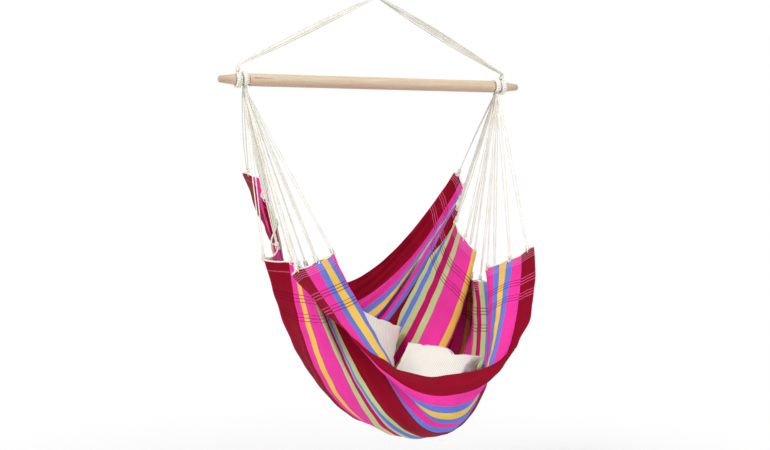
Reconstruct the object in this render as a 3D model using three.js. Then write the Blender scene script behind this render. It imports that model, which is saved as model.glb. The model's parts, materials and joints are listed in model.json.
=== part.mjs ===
// Hammock chair: a striped cotton cloth hung by fans of cord from a wooden spreader bar,
// with a cord bridle up to a steel ring, and two loose cushions in the seat.
// Millimetres. +X runs along the bar, -Y is the open front, +Z is up.
// The origin is the point inside the top of the ring where a hook carries the chair.

import * as THREE from 'three';

// Driving dimensions
const gap = 0.3;
const wireRadius = 4;
const ringRadius = 25;
const barLength = 1090;
const barRadius = 20;
const neckRadius = 14;
const neckLength = 46;
const knobLength = 52;
const knobRootRadius = 17;
const knobTipRadius = 10.5;
const barEdgeRound = 3;
const bridleRise = 290;
const strandRadius = 1.9;
const strandPitch = 4.4;
const strandsPerSide = 4;
const strandLead = 8;
const strandSpread = 6;
const fanCordRadius = 1.8;
const fanPitch = 4.3;
const fanRows = 7;
const fanLayers = 2;
const fanLead = 8;
const fanEndGap = 1.2;
const edgeCordRadius = 2;
const edgeGap = 1.3;
const whipRadius = 1.7;
const whipGap = 0.7;
const whipMargin = 3.4;
const barEyeTurns = 14;
const topEyeTurns = 10;
const eyeCoreWidth = 10;
const eyeCoreDepth = 5;
const eyeBevel = 2;
const eyePitch = 23;
const tabLength = 14;
const tabMargin = 2;
const barEyeClearance = 0.4;
const topEyeBore = 13;
const topEyeRise = 0.5;
const throatRadius = 9;
const throatLength = 40;
const throatTurns = 6;
const clothWidth = 1260;
const clothLength = 1420;
const clothThickness = 2;
const cushionSize = 320;
const cushionThickness = 108;

// How finely the curved pieces are divided
const roundSides = 24;
const wireSides = 10;
const cordSides = 8;
const whipSteps = 8;
const throatSteps = 12;
const clothRows = 15;
const clothColumns = 38;
const warpSamples = 60;
const cushionCells = 12;

// Colours
const steelGrey = 0xb9bcc0;
const beech = 0xdcc4a0;
const cottonCream = 0xf1ead8;
const burgundy = 0x8c1030;
const cushionBeige = 0xeee6d3;

const cotton = new THREE.MeshStandardMaterial({ color: cottonCream, roughness: 0.9, metalness: 0 });
const steel = new THREE.MeshStandardMaterial({ color: steelGrey, roughness: 0.3, metalness: 1 });
const wood = new THREE.MeshStandardMaterial({ color: beech, roughness: 0.6, metalness: 0 });
const stripedCloth = new THREE.MeshStandardMaterial({ color: burgundy, roughness: 0.85, metalness: 0 });
const ticking = new THREE.MeshStandardMaterial({ color: cushionBeige, roughness: 0.95, metalness: 0 });

// Half the width of a winding's square section, whose corners lie on the round cord
const whipHalf = whipRadius * Math.SQRT1_2;

// Places worked out from the driving dimensions
const ringCentreZ = wireRadius - ringRadius;
const wireZ = ringCentreZ - ringRadius;
const topEyeZ = wireZ + wireRadius + topEyeRise - topEyeBore;
const topEyeInner = topEyeBore + 2 * whipHalf + whipGap;
const topTabEndZ = topEyeZ - topEyeInner - eyeCoreDepth - tabLength;
const throatTopZ = topTabEndZ - gap;
const throatPivotZ = throatTopZ - throatRadius;
const throatBottomZ = throatPivotZ - throatLength;
const strandTopZ = throatBottomZ - gap;
const barZ = throatBottomZ - bridleRise;
const barHalf = barLength / 2;
const neckOuterX = barHalf - knobLength;
const neckInnerX = neckOuterX - neckLength;
const neckX = (neckOuterX + neckInnerX) / 2;
const fanEyeX = neckX - eyePitch / 2;
const bridleEyeX = neckX + eyePitch / 2;
const barEyeInner = neckRadius + barEyeClearance + 2 * whipHalf + whipGap;
const barTabEnd = barEyeInner + eyeCoreDepth + tabLength;

// How deep the hung cloth is front to back, and how far it drops below the bar
const seatDepthShare = 0.635;
const seatDropShare = 0.792;
const seatDepth = seatDepthShare * clothWidth;
const seatDrop = seatDropShare * clothLength;

const chair = new THREE.Group();

function add(name, geometry, material) {
  const mesh = new THREE.Mesh(geometry, material);
  mesh.name = name;
  chair.add(mesh);
  return mesh;
}

// A closed skin from points and four-cornered faces
function skin(points, quads) {
  const geometry = new THREE.BufferGeometry();
  const position = points.flatMap((p) => [p.x, p.y, p.z]);
  const index = quads.flatMap(([a, b, c, d]) => [a, b, c, a, c, d]);
  geometry.setAttribute('position', new THREE.Float32BufferAttribute(position, 3));
  geometry.setIndex(index);
  return geometry;
}

// A chain of straight runs, sampled at its own points
class Chain extends THREE.Curve {
  constructor(points) {
    super();
    this.points = points;
  }

  getPoint(t, target = new THREE.Vector3()) {
    const along = t * (this.points.length - 1);
    const first = Math.min(Math.floor(along), this.points.length - 2);
    return target.lerpVectors(this.points[first], this.points[first + 1], along - first);
  }

  getPointAt(t, target) {
    return this.getPoint(t, target);
  }

  getTangentAt(t, target = new THREE.Vector3()) {
    const step = 1 / (this.points.length - 1);
    const before = this.getPoint(Math.max(t - step / 2, 0));
    const after = this.getPoint(Math.min(t + step / 2, 1));
    return target.subVectors(after, before).normalize();
  }
}

function circle(radius, sides) {
  const corners = [];
  for (let i = 0; i < sides; i += 1) {
    const turn = (2 * Math.PI * i) / sides;
    corners.push(new THREE.Vector2(radius * Math.cos(turn), radius * Math.sin(turn)));
  }
  return new THREE.Shape(corners);
}

function cordThrough(points, radius) {
  const path = new Chain(points);
  const settings = { steps: points.length - 1, extrudePath: path, bevelEnabled: false };
  return new THREE.ExtrudeGeometry(circle(radius, cordSides), settings);
}

// Smallest distance between one turn of a winding and the next, printed for the record
function printLeastGap(name, centres, stepsPerTurn) {
  let least = Infinity;
  for (let i = 0; i < centres.length; i += 1) {
    for (let j = i + Math.floor(stepsPerTurn / 2); j < centres.length; j += 1) {
      least = Math.min(least, centres[i].distanceTo(centres[j]) - 2 * whipRadius);
    }
  }
  console.log(`${name}: least gap between turns ${least.toFixed(2)} mm`);
}

// One unbroken winding: a four-sided cord whose section faces outward from its core
function winding(name, frames, stepsPerTurn) {
  const corners = [[1, 1], [-1, 1], [-1, -1], [1, -1]];
  const points = frames.flatMap(({ centre, out, side }) => corners.map(([a, b]) => centre.clone()
    .addScaledVector(out, a * whipHalf)
    .addScaledVector(side, b * whipHalf)));
  const quads = [];
  for (let i = 0; i < frames.length - 1; i += 1) {
    for (let k = 0; k < corners.length; k += 1) {
      const next = (k + 1) % corners.length;
      const low = i * corners.length;
      const high = low + corners.length;
      quads.push([low + k, low + next, high + next, high + k]);
    }
  }
  const last = (frames.length - 1) * corners.length;
  quads.push([3, 2, 1, 0]);
  quads.push([last, last + 1, last + 2, last + 3]);
  printLeastGap(name, frames.map((frame) => frame.centre), stepsPerTurn);
  return skin(points, quads);
}

// Steel ring
const ringGeometry = new THREE.TorusGeometry(ringRadius, wireRadius, wireSides, roundSides);
add('hanging_ring', ringGeometry.rotateX(Math.PI / 2), steel).position.z = ringCentreZ;

// A cord eye: a flat ring round the X axis with a tab at the bottom, where its cords run out
function eyeCore(innerRadius, tabWidth) {
  const outerRadius = innerRadius + eyeCoreDepth;
  const tabEnd = outerRadius + tabLength;
  const shoulder = Math.asin(tabWidth / 2 / outerRadius);
  const outline = new THREE.Shape();
  outline.moveTo(-tabWidth / 2, -tabEnd);
  outline.lineTo(tabWidth / 2, -tabEnd);
  outline.absarc(0, 0, outerRadius, shoulder - Math.PI / 2, 3 * Math.PI / 2 - shoulder, false);
  outline.closePath();
  const hole = new THREE.Path();
  hole.absarc(0, 0, innerRadius, 0, 2 * Math.PI, true);
  outline.holes.push(hole);
  const settings = {
    depth: eyeCoreWidth - 2 * eyeBevel,
    curveSegments: roundSides / 2,
    bevelEnabled: true,
    bevelThickness: eyeBevel,
    bevelSize: eyeBevel,
    bevelOffset: -eyeBevel,
    bevelSegments: 1,
  };
  const geometry = new THREE.ExtrudeGeometry(outline, settings);
  geometry.translate(0, 0, eyeBevel - eyeCoreWidth / 2);
  geometry.rotateX(Math.PI / 2);
  geometry.rotateZ(Math.PI / 2);
  return geometry;
}

// The whipping of an eye: turns round the flat ring, from one side of its tab to the other
function eyeWhipping(name, innerRadius, tabWidth, turns) {
  const middle = innerRadius + eyeCoreDepth / 2;
  const reachOut = eyeCoreDepth / 2 + whipGap + whipHalf;
  const reachSide = eyeCoreWidth / 2 + whipGap + whipHalf;
  const openAngle = Math.asin((tabWidth / 2 + whipMargin) / (middle + reachOut));
  const start = openAngle - Math.PI / 2;
  const sweep = 2 * Math.PI - 2 * openAngle;
  const count = turns * whipSteps;
  const frames = [];
  for (let i = 0; i <= count; i += 1) {
    const round = (2 * Math.PI * (i + 1 / 2)) / whipSteps;
    const around = start + (sweep * i) / count;
    const radial = new THREE.Vector3(0, Math.cos(around), Math.sin(around));
    const corner = 1 / Math.cos(Math.PI / whipSteps);
    const outward = radial.clone().multiplyScalar(Math.cos(round) * corner);
    outward.x = Math.sin(round) * corner;
    const centre = radial.clone().multiplyScalar(middle + reachOut * Math.cos(round) * corner);
    centre.x = reachSide * Math.sin(round) * corner;
    const side = new THREE.Vector3(0, -Math.sin(around), Math.cos(around));
    frames.push({ centre, out: outward.normalize(), side });
  }
  return winding(name, frames, whipSteps);
}

// Top eye, looped over the bottom of the steel ring
const topTabWidth = 2 * throatRadius;
add('top_eye', eyeCore(topEyeInner, topTabWidth), cotton).position.z = topEyeZ;
const topWhipping = eyeWhipping('top_eye_whipping', topEyeInner, topTabWidth, topEyeTurns);
add('top_eye_whipping', topWhipping, cotton).position.z = topEyeZ;

// Throat: the bridle cords gathered under the top eye, domed on top so that it can tilt
function throatProfile() {
  const steps = roundSides / 4;
  const profile = [new THREE.Vector2(0, -throatLength), new THREE.Vector2(throatRadius, -throatLength)];
  for (let i = 0; i < steps; i += 1) {
    const rise = (Math.PI / 2) * (i / steps);
    profile.push(new THREE.Vector2(throatRadius * Math.cos(rise), throatRadius * Math.sin(rise)));
  }
  profile.push(new THREE.Vector2(0, throatRadius));
  return profile;
}

function throatWhipping() {
  const count = throatTurns * throatSteps;
  const flatShare = Math.cos(Math.PI / throatSteps);
  const reach = (throatRadius * flatShare + gap + whipHalf) / flatShare;
  const travel = throatLength - 2 * whipMargin;
  const frames = [];
  for (let i = 0; i <= count; i += 1) {
    const around = (2 * Math.PI * i) / throatSteps;
    const out = new THREE.Vector3(Math.cos(around), Math.sin(around), 0);
    const centre = out.clone().multiplyScalar(reach);
    centre.z = whipMargin - throatLength + (travel * i) / count;
    frames.push({ centre, out, side: new THREE.Vector3(0, 0, 1) });
  }
  return winding('throat_whipping', frames.reverse(), throatSteps);
}

const throatGeometry = new THREE.LatheGeometry(throatProfile(), throatSteps);
add('throat', throatGeometry.rotateX(Math.PI / 2), cotton).position.z = throatPivotZ;
add('throat_whipping', throatWhipping(), cotton).position.z = throatPivotZ;

// Spreader bar: a turned dowel with a neck at each end for the eyes, and a tapered knob
function barProfile() {
  const right = [
    [neckInnerX - barEdgeRound, barRadius],
    [neckInnerX, barRadius - barEdgeRound],
    [neckInnerX, neckRadius],
    [neckOuterX, neckRadius],
    [neckOuterX, knobRootRadius],
    [barHalf - barEdgeRound, knobTipRadius],
    [barHalf, knobTipRadius - barEdgeRound],
    [barHalf, 0],
  ];
  const left = right.map(([x, radius]) => [-x, radius]).reverse();
  return [...left, ...right].map(([x, radius]) => new THREE.Vector2(radius, x));
}

const barGeometry = new THREE.LatheGeometry(barProfile(), roundSides);
add('spreader_bar', barGeometry.rotateZ(-Math.PI / 2), wood).position.z = barZ;

// Eyes on the bar: the bridle's eye outside, the fan's eye inside, at each end
const fanTabWidth = (fanRows - 1) * fanPitch + 2 * (fanCordRadius + tabMargin);
const bridleTabWidth = (strandsPerSide - 1) * strandPitch + 2 * (strandRadius + tabMargin);
const sides = [['left', -1], ['right', 1]];

for (const [sideName, side] of sides) {
  const fanEye = new THREE.Group();
  fanEye.position.set(side * fanEyeX, 0, barZ);
  const bridleEye = new THREE.Group();
  bridleEye.position.set(side * bridleEyeX, 0, barZ);
  bridleEye.rotation.x = Math.PI;
  chair.add(fanEye, bridleEye);
  const pieces = [['fan_eye', fanEye, fanTabWidth], ['bridle_eye', bridleEye, bridleTabWidth]];
  for (const [pieceName, holder, tabWidth] of pieces) {
    const name = `${sideName}_${pieceName}`;
    holder.add(add(name, eyeCore(barEyeInner, tabWidth), cotton));
    const whipping = eyeWhipping(`${name}_whipping`, barEyeInner, tabWidth, barEyeTurns);
    holder.add(add(`${name}_whipping`, whipping, cotton));
  }
}

// Bridle strands, from the throat down to the bridle's eyes, a little apart between their ends
const strandPlaceShares = [0.04, 0.3, 0.6, 0.96];
const strandSpreadShares = [0.35, -1, 1, -0.35];

for (const [sideName, side] of sides) {
  for (let i = 0; i < strandsPerSide; i += 1) {
    const y = (i - (strandsPerSide - 1) / 2) * strandPitch;
    const top = new THREE.Vector3(side * (strandPitch / 2), y, strandTopZ);
    const foot = new THREE.Vector3(side * bridleEyeX, y, barZ + barTabEnd + gap);
    const belowTop = top.clone();
    belowTop.z -= strandLead;
    const aboveFoot = foot.clone();
    aboveFoot.z += strandLead;
    const points = [top, belowTop];
    for (const share of strandPlaceShares) {
      const point = new THREE.Vector3().lerpVectors(belowTop, aboveFoot, share);
      point.z -= strandSpread * strandSpreadShares[i] * Math.sin(Math.PI * share);
      point.y += strandSpread * Math.sign(y) * Math.sin(Math.PI * share);
      points.push(point);
    }
    points.push(aboveFoot, foot);
    add(`${sideName}_bridle_strand_${i + 1}`, cordThrough(points, strandRadius), cotton);
  }
}

// The cloth. Each row gives a place across the cloth, front to back, as a share of its width,
// then how far out, back and down it lies, as shares of the eye's reach, seat depth and drop.
const rightHemShares = [
  [0, 0.895, -0.37, 0.47],
  [0.063, 0.899, -0.283, 0.498],
  [0.095, 0.856, -0.256, 0.513],
  [0.143, 0.78, -0.205, 0.531],
  [0.187, 0.742, -0.152, 0.55],
  [0.218, 0.8, -0.115, 0.57],
  [0.254, 0.85, -0.12, 0.583],
  [0.294, 0.82, -0.085, 0.589],
  [0.333, 0.77, -0.055, 0.588],
  [0.373, 0.765, -0.005, 0.587],
  [0.421, 0.875, 0.1, 0.572],
  [0.46, 0.9, 0.155, 0.545],
  [0.504, 0.8, 0.09, 0.52],
  [0.548, 0.74, -0.07, 0.5],
  [0.583, 0.705, -0.045, 0.476],
  [0.627, 0.765, 0.08, 0.455],
  [0.675, 0.82, 0.185, 0.42],
  [0.726, 0.87, 0.205, 0.39],
  [0.762, 0.87, 0.222, 0.373],
  [0.794, 0.88, 0.232, 0.36],
  [0.841, 0.915, 0.238, 0.345],
  [0.889, 0.945, 0.245, 0.318],
  [0.937, 0.935, 0.262, 0.281],
  [1, 0.915, 0.29, 0.262],
];

const leftHemShares = [
  [0, 0.91, -0.373, 0.52],
  [0.063, 0.795, -0.323, 0.508],
  [0.095, 0.7, -0.296, 0.5],
  [0.143, 0.573, -0.256, 0.487],
  [0.187, 0.5, -0.213, 0.48],
  [0.212, 0.52, -0.19, 0.488],
  [0.24, 0.575, -0.185, 0.498],
  [0.286, 0.672, -0.219, 0.508],
  [0.341, 0.737, -0.263, 0.512],
  [0.373, 0.787, -0.297, 0.509],
  [0.395, 0.794, -0.284, 0.506],
  [0.433, 0.773, -0.231, 0.502],
  [0.472, 0.793, -0.183, 0.5],
  [0.5, 0.858, -0.157, 0.498],
  [0.528, 0.927, -0.129, 0.497],
  [0.571, 0.84, -0.087, 0.487],
  [0.603, 0.78, -0.057, 0.47],
  [0.635, 0.83, -0.05, 0.45],
  [0.675, 0.77, -0.022, 0.407],
  [0.726, 0.79, 0.03, 0.345],
  [0.762, 0.82, 0.035, 0.333],
  [0.794, 0.84, 0.035, 0.322],
  [0.841, 0.79, 0.055, 0.306],
  [0.889, 0.79, 0.07, 0.279],
  [0.937, 0.85, 0.107, 0.268],
  [1, 0.82, 0.27, 0.258],
];

const middleShares = [
  [0, 0, -0.56, 0.797],
  [0.063, 0, -0.61, 0.842],
  [0.135, 0, -0.6, 0.907],
  [0.206, 0, -0.54, 0.95],
  [0.317, 0, -0.36, 0.992],
  [0.5, 0, -0.05, 0.985],
  [0.675, 0, 0.195, 0.918],
  [0.794, 0, 0.32, 0.823],
  [0.897, 0, 0.395, 0.72],
  [1, 0, 0.437, 0.618],
];

// How far the hanging curve bellies out beyond a plain sag, near each end
const bellyPeakShare = 4 / 27;
const rightBellyShares = [
  [0, 0.105, 0, 0.06],
  [0.053, 0.045, 0, 0.05],
  [0.1, -0.035, 0, 0.035],
  [0.15, 0.01, 0, 0.015],
  [0.2, 0.055, 0, 0.015],
  [0.36, 0.115, 0, 0.03],
  [0.55, 0.06, 0, 0],
  [0.71, 0, 0, -0.03],
  [1, 0, 0, 0],
];

const leftBellyShares = [
  [0, 0.01, -0.02, -0.005],
  [0.1, -0.02, -0.03, 0.03],
  [0.158, -0.075, -0.025, 0.03],
  [0.186, -0.015, -0.01, 0.03],
  [0.213, -0.02, -0.035, 0.02],
  [0.274, 0.01, -0.02, 0.015],
  [0.36, -0.03, -0.03, 0.045],
  [0.433, 0.03, 0, 0.03],
  [0.472, 0.06, 0, 0.03],
  [0.53, 0.03, 0, 0.02],
  [0.71, 0.02, 0, -0.03],
  [1, 0, 0, 0],
];

// Slope of a table at one of its rows, from the rows on both sides
function slopeAt(rows, i, column) {
  const rise = (a, b) => (rows[b][column] - rows[a][column]) / (rows[b][0] - rows[a][0]);
  if (i === 0) {
    return rise(0, 1);
  }
  if (i === rows.length - 1) {
    return rise(i - 1, i);
  }
  const before = rows[i][0] - rows[i - 1][0];
  const after = rows[i + 1][0] - rows[i][0];
  return (after * rise(i - 1, i) + before * rise(i, i + 1)) / (before + after);
}

// A smooth curve through a table of shares, as an offset from the middle of the bar
function along(rows, v, side) {
  let i = 0;
  while (i < rows.length - 2 && v > rows[i + 1][0]) {
    i += 1;
  }
  const width = rows[i + 1][0] - rows[i][0];
  const t = (v - rows[i][0]) / width;
  const value = (column) => (2 * t ** 3 - 3 * t ** 2 + 1) * rows[i][column]
    + (t ** 3 - 2 * t ** 2 + t) * width * slopeAt(rows, i, column)
    + (3 * t ** 2 - 2 * t ** 3) * rows[i + 1][column]
    + (t ** 3 - t ** 2) * width * slopeAt(rows, i + 1, column);
  return new THREE.Vector3(side * value(1) * neckX, value(2) * seatDepth, -value(3) * seatDrop);
}

// One warp thread, hem to hem, at a share of the width, divided into equal lengths
function warpThread(v, divisions) {
  const left = along(leftHemShares, v, -1);
  const right = along(rightHemShares, v, 1);
  const sag = along(middleShares, v, 1).addScaledVector(left, -1 / 2).addScaledVector(right, -1 / 2);
  const leftBelly = along(leftBellyShares, v, -1);
  const rightBelly = along(rightBellyShares, v, 1);
  const belly = (t) => {
    const s = Math.min(2 * t, 1);
    return (s * (1 - s) ** 2) / bellyPeakShare;
  };
  const samples = [];
  for (let i = 0; i <= warpSamples; i += 1) {
    const t = i / warpSamples;
    samples.push(new THREE.Vector3().lerpVectors(left, right, t)
      .addScaledVector(sag, 4 * t * (1 - t))
      .addScaledVector(leftBelly, belly(t))
      .addScaledVector(rightBelly, belly(1 - t)));
  }
  const lengths = [0];
  for (let i = 1; i < samples.length; i += 1) {
    lengths.push(lengths[i - 1] + samples[i].distanceTo(samples[i - 1]));
  }
  const points = [];
  let j = 0;
  for (let i = 0; i <= divisions; i += 1) {
    const wanted = (lengths[warpSamples] * i) / divisions;
    while (j < warpSamples - 1 && lengths[j + 1] < wanted) {
      j += 1;
    }
    const share = (wanted - lengths[j]) / (lengths[j + 1] - lengths[j]);
    points.push(new THREE.Vector3().lerpVectors(samples[j], samples[j + 1], share));
  }
  return { points, length: lengths[warpSamples] };
}

const threads = [];
for (let j = 0; j <= clothColumns; j += 1) {
  threads.push(warpThread(j / clothColumns, clothRows));
}
const meanLength = threads.reduce((sum, thread) => sum + thread.length, 0) / threads.length;
console.log(`cloth: mean length as hung ${meanLength.toFixed(0)} mm`);

// Direction of the cloth at a point, halfway between its directions on both sides
function halfway(before, here, after) {
  const arriving = new THREE.Vector3().subVectors(here, before).normalize();
  const leaving = new THREE.Vector3().subVectors(after, here).normalize();
  return arriving.add(leaving);
}

function clothNormal(i, j) {
  const here = threads[j].points[i];
  const lengthBefore = threads[j].points[Math.max(i - 1, 0)];
  const lengthAfter = threads[j].points[Math.min(i + 1, clothRows)];
  const widthBefore = threads[Math.max(j - 1, 0)].points[i];
  const widthAfter = threads[Math.min(j + 1, clothColumns)].points[i];
  const alongLength = halfway(lengthBefore, here, lengthAfter);
  return alongLength.cross(halfway(widthBefore, here, widthAfter)).normalize();
}

function clothGeometry() {
  const points = [];
  for (const face of [1, -1]) {
    for (let i = 0; i <= clothRows; i += 1) {
      for (let j = 0; j <= clothColumns; j += 1) {
        const point = threads[j].points[i].clone();
        points.push(point.addScaledVector(clothNormal(i, j), face * (clothThickness / 2)));
      }
    }
  }
  const upper = (i, j) => i * (clothColumns + 1) + j;
  const lower = (i, j) => upper(i, j) + (clothRows + 1) * (clothColumns + 1);
  const quads = [];
  for (let i = 0; i < clothRows; i += 1) {
    for (let j = 0; j < clothColumns; j += 1) {
      quads.push([upper(i, j), upper(i + 1, j), upper(i + 1, j + 1), upper(i, j + 1)]);
      quads.push([lower(i, j), lower(i, j + 1), lower(i + 1, j + 1), lower(i + 1, j)]);
    }
    quads.push([upper(i, 0), lower(i, 0), lower(i + 1, 0), upper(i + 1, 0)]);
    const last = clothColumns;
    quads.push([upper(i, last), upper(i + 1, last), lower(i + 1, last), lower(i, last)]);
  }
  for (let j = 0; j < clothColumns; j += 1) {
    quads.push([upper(0, j), upper(0, j + 1), lower(0, j + 1), lower(0, j)]);
    const last = clothRows;
    quads.push([upper(last, j), lower(last, j), lower(last, j + 1), upper(last, j + 1)]);
  }
  return skin(points, quads);
}

const seat = new THREE.Group();
seat.position.z = barZ;
chair.add(seat);
seat.add(add('seat_cloth', clothGeometry(), stripedCloth));

// Edging cord along each hem, just above the cloth, in line with its warp threads
const edgeOffset = edgeCordRadius + edgeGap;

function edgePoints(side) {
  const lines = threads.map(({ points }) => (side < 0 ? points : [...points].reverse()));
  const run = (a, b) => new THREE.Vector3().subVectors(lines[b][0], lines[a][0]).normalize();
  return lines.map(([hem, next], j) => {
    const before = run(Math.max(j - 1, 0), Math.max(j, 1));
    const after = run(Math.min(j, clothColumns - 1), Math.min(j + 1, clothColumns));
    const warp = new THREE.Vector3().subVectors(hem, next).normalize();
    const cosine = Math.max(Math.abs(warp.dot(before)), Math.abs(warp.dot(after)));
    return hem.clone().addScaledVector(warp, edgeOffset / Math.sqrt(1 - cosine ** 2));
  });
}

// Fan cords run from the eye's tab to places evenly spaced along the hem
function fanCords(sideName, side, edge) {
  const count = fanRows * fanLayers;
  const tabZ = -(barTabEnd + gap);
  const chain = new Chain(edge);
  const feet = [];
  for (let i = 0; i < count; i += 1) {
    const t = (i + 1 / 2) / count;
    const foot = chain.getPoint(t);
    const drop = tabZ - foot.z;
    const outSlope = (side * foot.x - fanEyeX) / drop;
    feet.push({ number: i + 1, foot, run: chain.getTangentAt(t), outSlope, slope: foot.y / drop });
  }
  feet.sort((a, b) => a.slope - b.slope);
  feet.forEach((cord, place) => {
    const row = Math.floor(place / fanLayers);
    const pair = feet.slice(row * fanLayers, (row + 1) * fanLayers);
    const outermost = Math.max(...pair.map(({ outSlope }) => outSlope));
    const layer = cord.outSlope === outermost ? 1 : -1;
    const startX = side * fanEyeX + side * layer * (fanPitch / 2);
    const startY = (row - (fanRows - 1) / 2) * fanPitch;
    const start = new THREE.Vector3(startX, startY, tabZ);
    const lead = start.clone();
    lead.z -= fanLead;
    const reach = new THREE.Vector3().subVectors(lead, cord.foot).normalize();
    const cosine = Math.abs(reach.dot(cord.run));
    const sine = Math.sqrt(1 - cosine ** 2);
    const rise = (edgeCordRadius + fanEndGap + fanCordRadius * cosine) / sine;
    const end = cord.foot.clone().addScaledVector(reach, rise);
    const name = `${sideName}_fan_cord_${String(cord.number).padStart(2, '0')}`;
    seat.add(add(name, cordThrough([start, lead, end], fanCordRadius), cotton));
  });
}

for (const [sideName, side] of sides) {
  const edge = edgePoints(side);
  seat.add(add(`${sideName}_edging_cord`, cordThrough(edge, edgeCordRadius), cotton));
  fanCords(sideName, side, edge);
}

// Cushions: square, crowned, with sides drawn in between their corners
const drawnInShare = 0.1;
const cornerShare = 0.08;

function cushionGeometry() {
  const points = [];
  const cells = cushionCells;
  const place = (i, j, face) => {
    const u = (2 * i) / cells - 1;
    const v = (2 * j) / cells - 1;
    const crown = Math.sqrt((1 - u ** 2) * (1 - v ** 2));
    const x = (cushionSize / 2) * u * (1 - drawnInShare * (1 - v ** 2));
    const y = (cushionSize / 2) * v * (1 - drawnInShare * (1 - u ** 2));
    const edge = cornerShare * (1 - crown) + crown;
    return new THREE.Vector3(x, y, face * (cushionThickness / 2) * edge);
  };
  for (const face of [1, -1]) {
    for (let i = 0; i <= cells; i += 1) {
      for (let j = 0; j <= cells; j += 1) {
        points.push(place(i, j, face));
      }
    }
  }
  const top = (i, j) => i * (cells + 1) + j;
  const under = (i, j) => top(i, j) + (cells + 1) ** 2;
  const quads = [];
  for (let i = 0; i < cells; i += 1) {
    for (let j = 0; j < cells; j += 1) {
      quads.push([top(i, j), top(i + 1, j), top(i + 1, j + 1), top(i, j + 1)]);
      quads.push([under(i, j), under(i, j + 1), under(i + 1, j + 1), under(i + 1, j)]);
    }
    quads.push([top(i, 0), under(i, 0), under(i + 1, 0), top(i + 1, 0)]);
    quads.push([top(i, cells), top(i + 1, cells), under(i + 1, cells), under(i, cells)]);
    quads.push([top(0, i), top(0, i + 1), under(0, i + 1), under(0, i)]);
    quads.push([top(cells, i), under(cells, i), under(cells, i + 1), top(cells, i + 1)]);
  }
  return skin(points, quads);
}

// Where each cushion lies in the seat: shares of the eye's reach, seat depth and drop
const cushionPlaceShares = {
  left_cushion: [-0.031, 0.106, 0.7795],
  right_cushion: [0.285, -0.152, 0.8565],
};

// Each cushion's lean back, its sideways tilt and its turn in its own plane, in degrees
const cushionTurns = {
  left_cushion: [56.8, 11.8, -23.2],
  right_cushion: [21.6, -29.4, -52.1],
};

for (const [name, [outShare, backShare, dropShare]] of Object.entries(cushionPlaceShares)) {
  const cushion = add(name, cushionGeometry(), ticking);
  cushion.rotation.set(...cushionTurns[name].map((turn) => THREE.MathUtils.degToRad(turn)));
  cushion.position.set(outShare * neckX, backShare * seatDepth, -dropShare * seatDrop);
  seat.add(cushion);
}

export default chair;
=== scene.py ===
"""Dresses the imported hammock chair: striped cloth, cotton cords, turned bar, steel ring and cushions.

Metres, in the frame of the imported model: +X along the bar, -Y the open front, +Z up.
"""

import json
import math

import bpy
import numpy as np
from mathutils import Matrix, Vector
from mathutils.bvhtree import BVHTree

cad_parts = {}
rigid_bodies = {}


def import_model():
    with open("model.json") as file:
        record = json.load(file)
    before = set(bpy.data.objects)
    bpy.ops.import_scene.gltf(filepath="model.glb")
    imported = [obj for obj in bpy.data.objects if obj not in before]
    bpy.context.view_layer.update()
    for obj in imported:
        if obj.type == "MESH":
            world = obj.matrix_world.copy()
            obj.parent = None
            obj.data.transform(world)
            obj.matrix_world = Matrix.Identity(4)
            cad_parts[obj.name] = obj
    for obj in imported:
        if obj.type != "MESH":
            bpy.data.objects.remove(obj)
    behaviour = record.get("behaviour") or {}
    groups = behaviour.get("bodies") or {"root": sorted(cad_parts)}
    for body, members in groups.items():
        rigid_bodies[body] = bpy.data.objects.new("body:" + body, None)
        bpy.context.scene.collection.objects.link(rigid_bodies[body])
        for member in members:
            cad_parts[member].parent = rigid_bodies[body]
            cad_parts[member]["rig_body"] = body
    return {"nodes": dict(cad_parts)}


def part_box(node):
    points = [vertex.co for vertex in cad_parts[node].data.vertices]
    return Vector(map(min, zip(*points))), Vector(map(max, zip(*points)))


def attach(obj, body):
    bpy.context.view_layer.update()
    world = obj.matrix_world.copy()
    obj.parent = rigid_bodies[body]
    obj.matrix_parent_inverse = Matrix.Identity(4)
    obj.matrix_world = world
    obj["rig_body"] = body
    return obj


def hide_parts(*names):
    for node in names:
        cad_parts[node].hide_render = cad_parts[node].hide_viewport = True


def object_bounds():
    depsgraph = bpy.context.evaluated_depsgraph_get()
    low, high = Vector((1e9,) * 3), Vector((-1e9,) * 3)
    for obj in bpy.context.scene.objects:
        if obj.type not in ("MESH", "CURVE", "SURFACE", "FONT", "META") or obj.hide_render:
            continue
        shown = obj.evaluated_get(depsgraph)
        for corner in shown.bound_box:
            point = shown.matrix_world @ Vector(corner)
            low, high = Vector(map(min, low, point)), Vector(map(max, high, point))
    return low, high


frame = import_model()
cad_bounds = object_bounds()
TURN = 2 * math.pi
WHITE = (1, 1, 1, 1)
BLACK = (0, 0, 0, 1)
EYE_HALF_WIDTH = 0.005

# Places taken from the frame
SIDES = (("left", -1), ("right", 1))
BAR_LOW, BAR_HIGH = (np.array(corner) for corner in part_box("spreader_bar"))
BAR = (BAR_LOW + BAR_HIGH) / 2
BAR_HALF, _, BAR_RADIUS = (BAR_HIGH - BAR_LOW) / 2
FAN_EYE_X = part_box("right_fan_eye")[0].x + EYE_HALF_WIDTH
BRIDLE_EYE_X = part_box("right_bridle_eye")[0].x + EYE_HALF_WIDTH
NECK_X = (FAN_EYE_X + BRIDLE_EYE_X) / 2

# The cloth as it was cut, and the depth and drop to which it hangs
CLOTH_WIDTH = 1.26
CLOTH_LENGTH = 1.42
SEAT_DEPTH = 0.635 * CLOTH_WIDTH
SEAT_DROP = 0.792 * CLOTH_LENGTH
HUNG = np.array([NECK_X, SEAT_DEPTH, -SEAT_DROP])
FAN_COUNT = 14


def link(item):
    bpy.context.scene.collection.objects.link(item)
    return item


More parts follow.
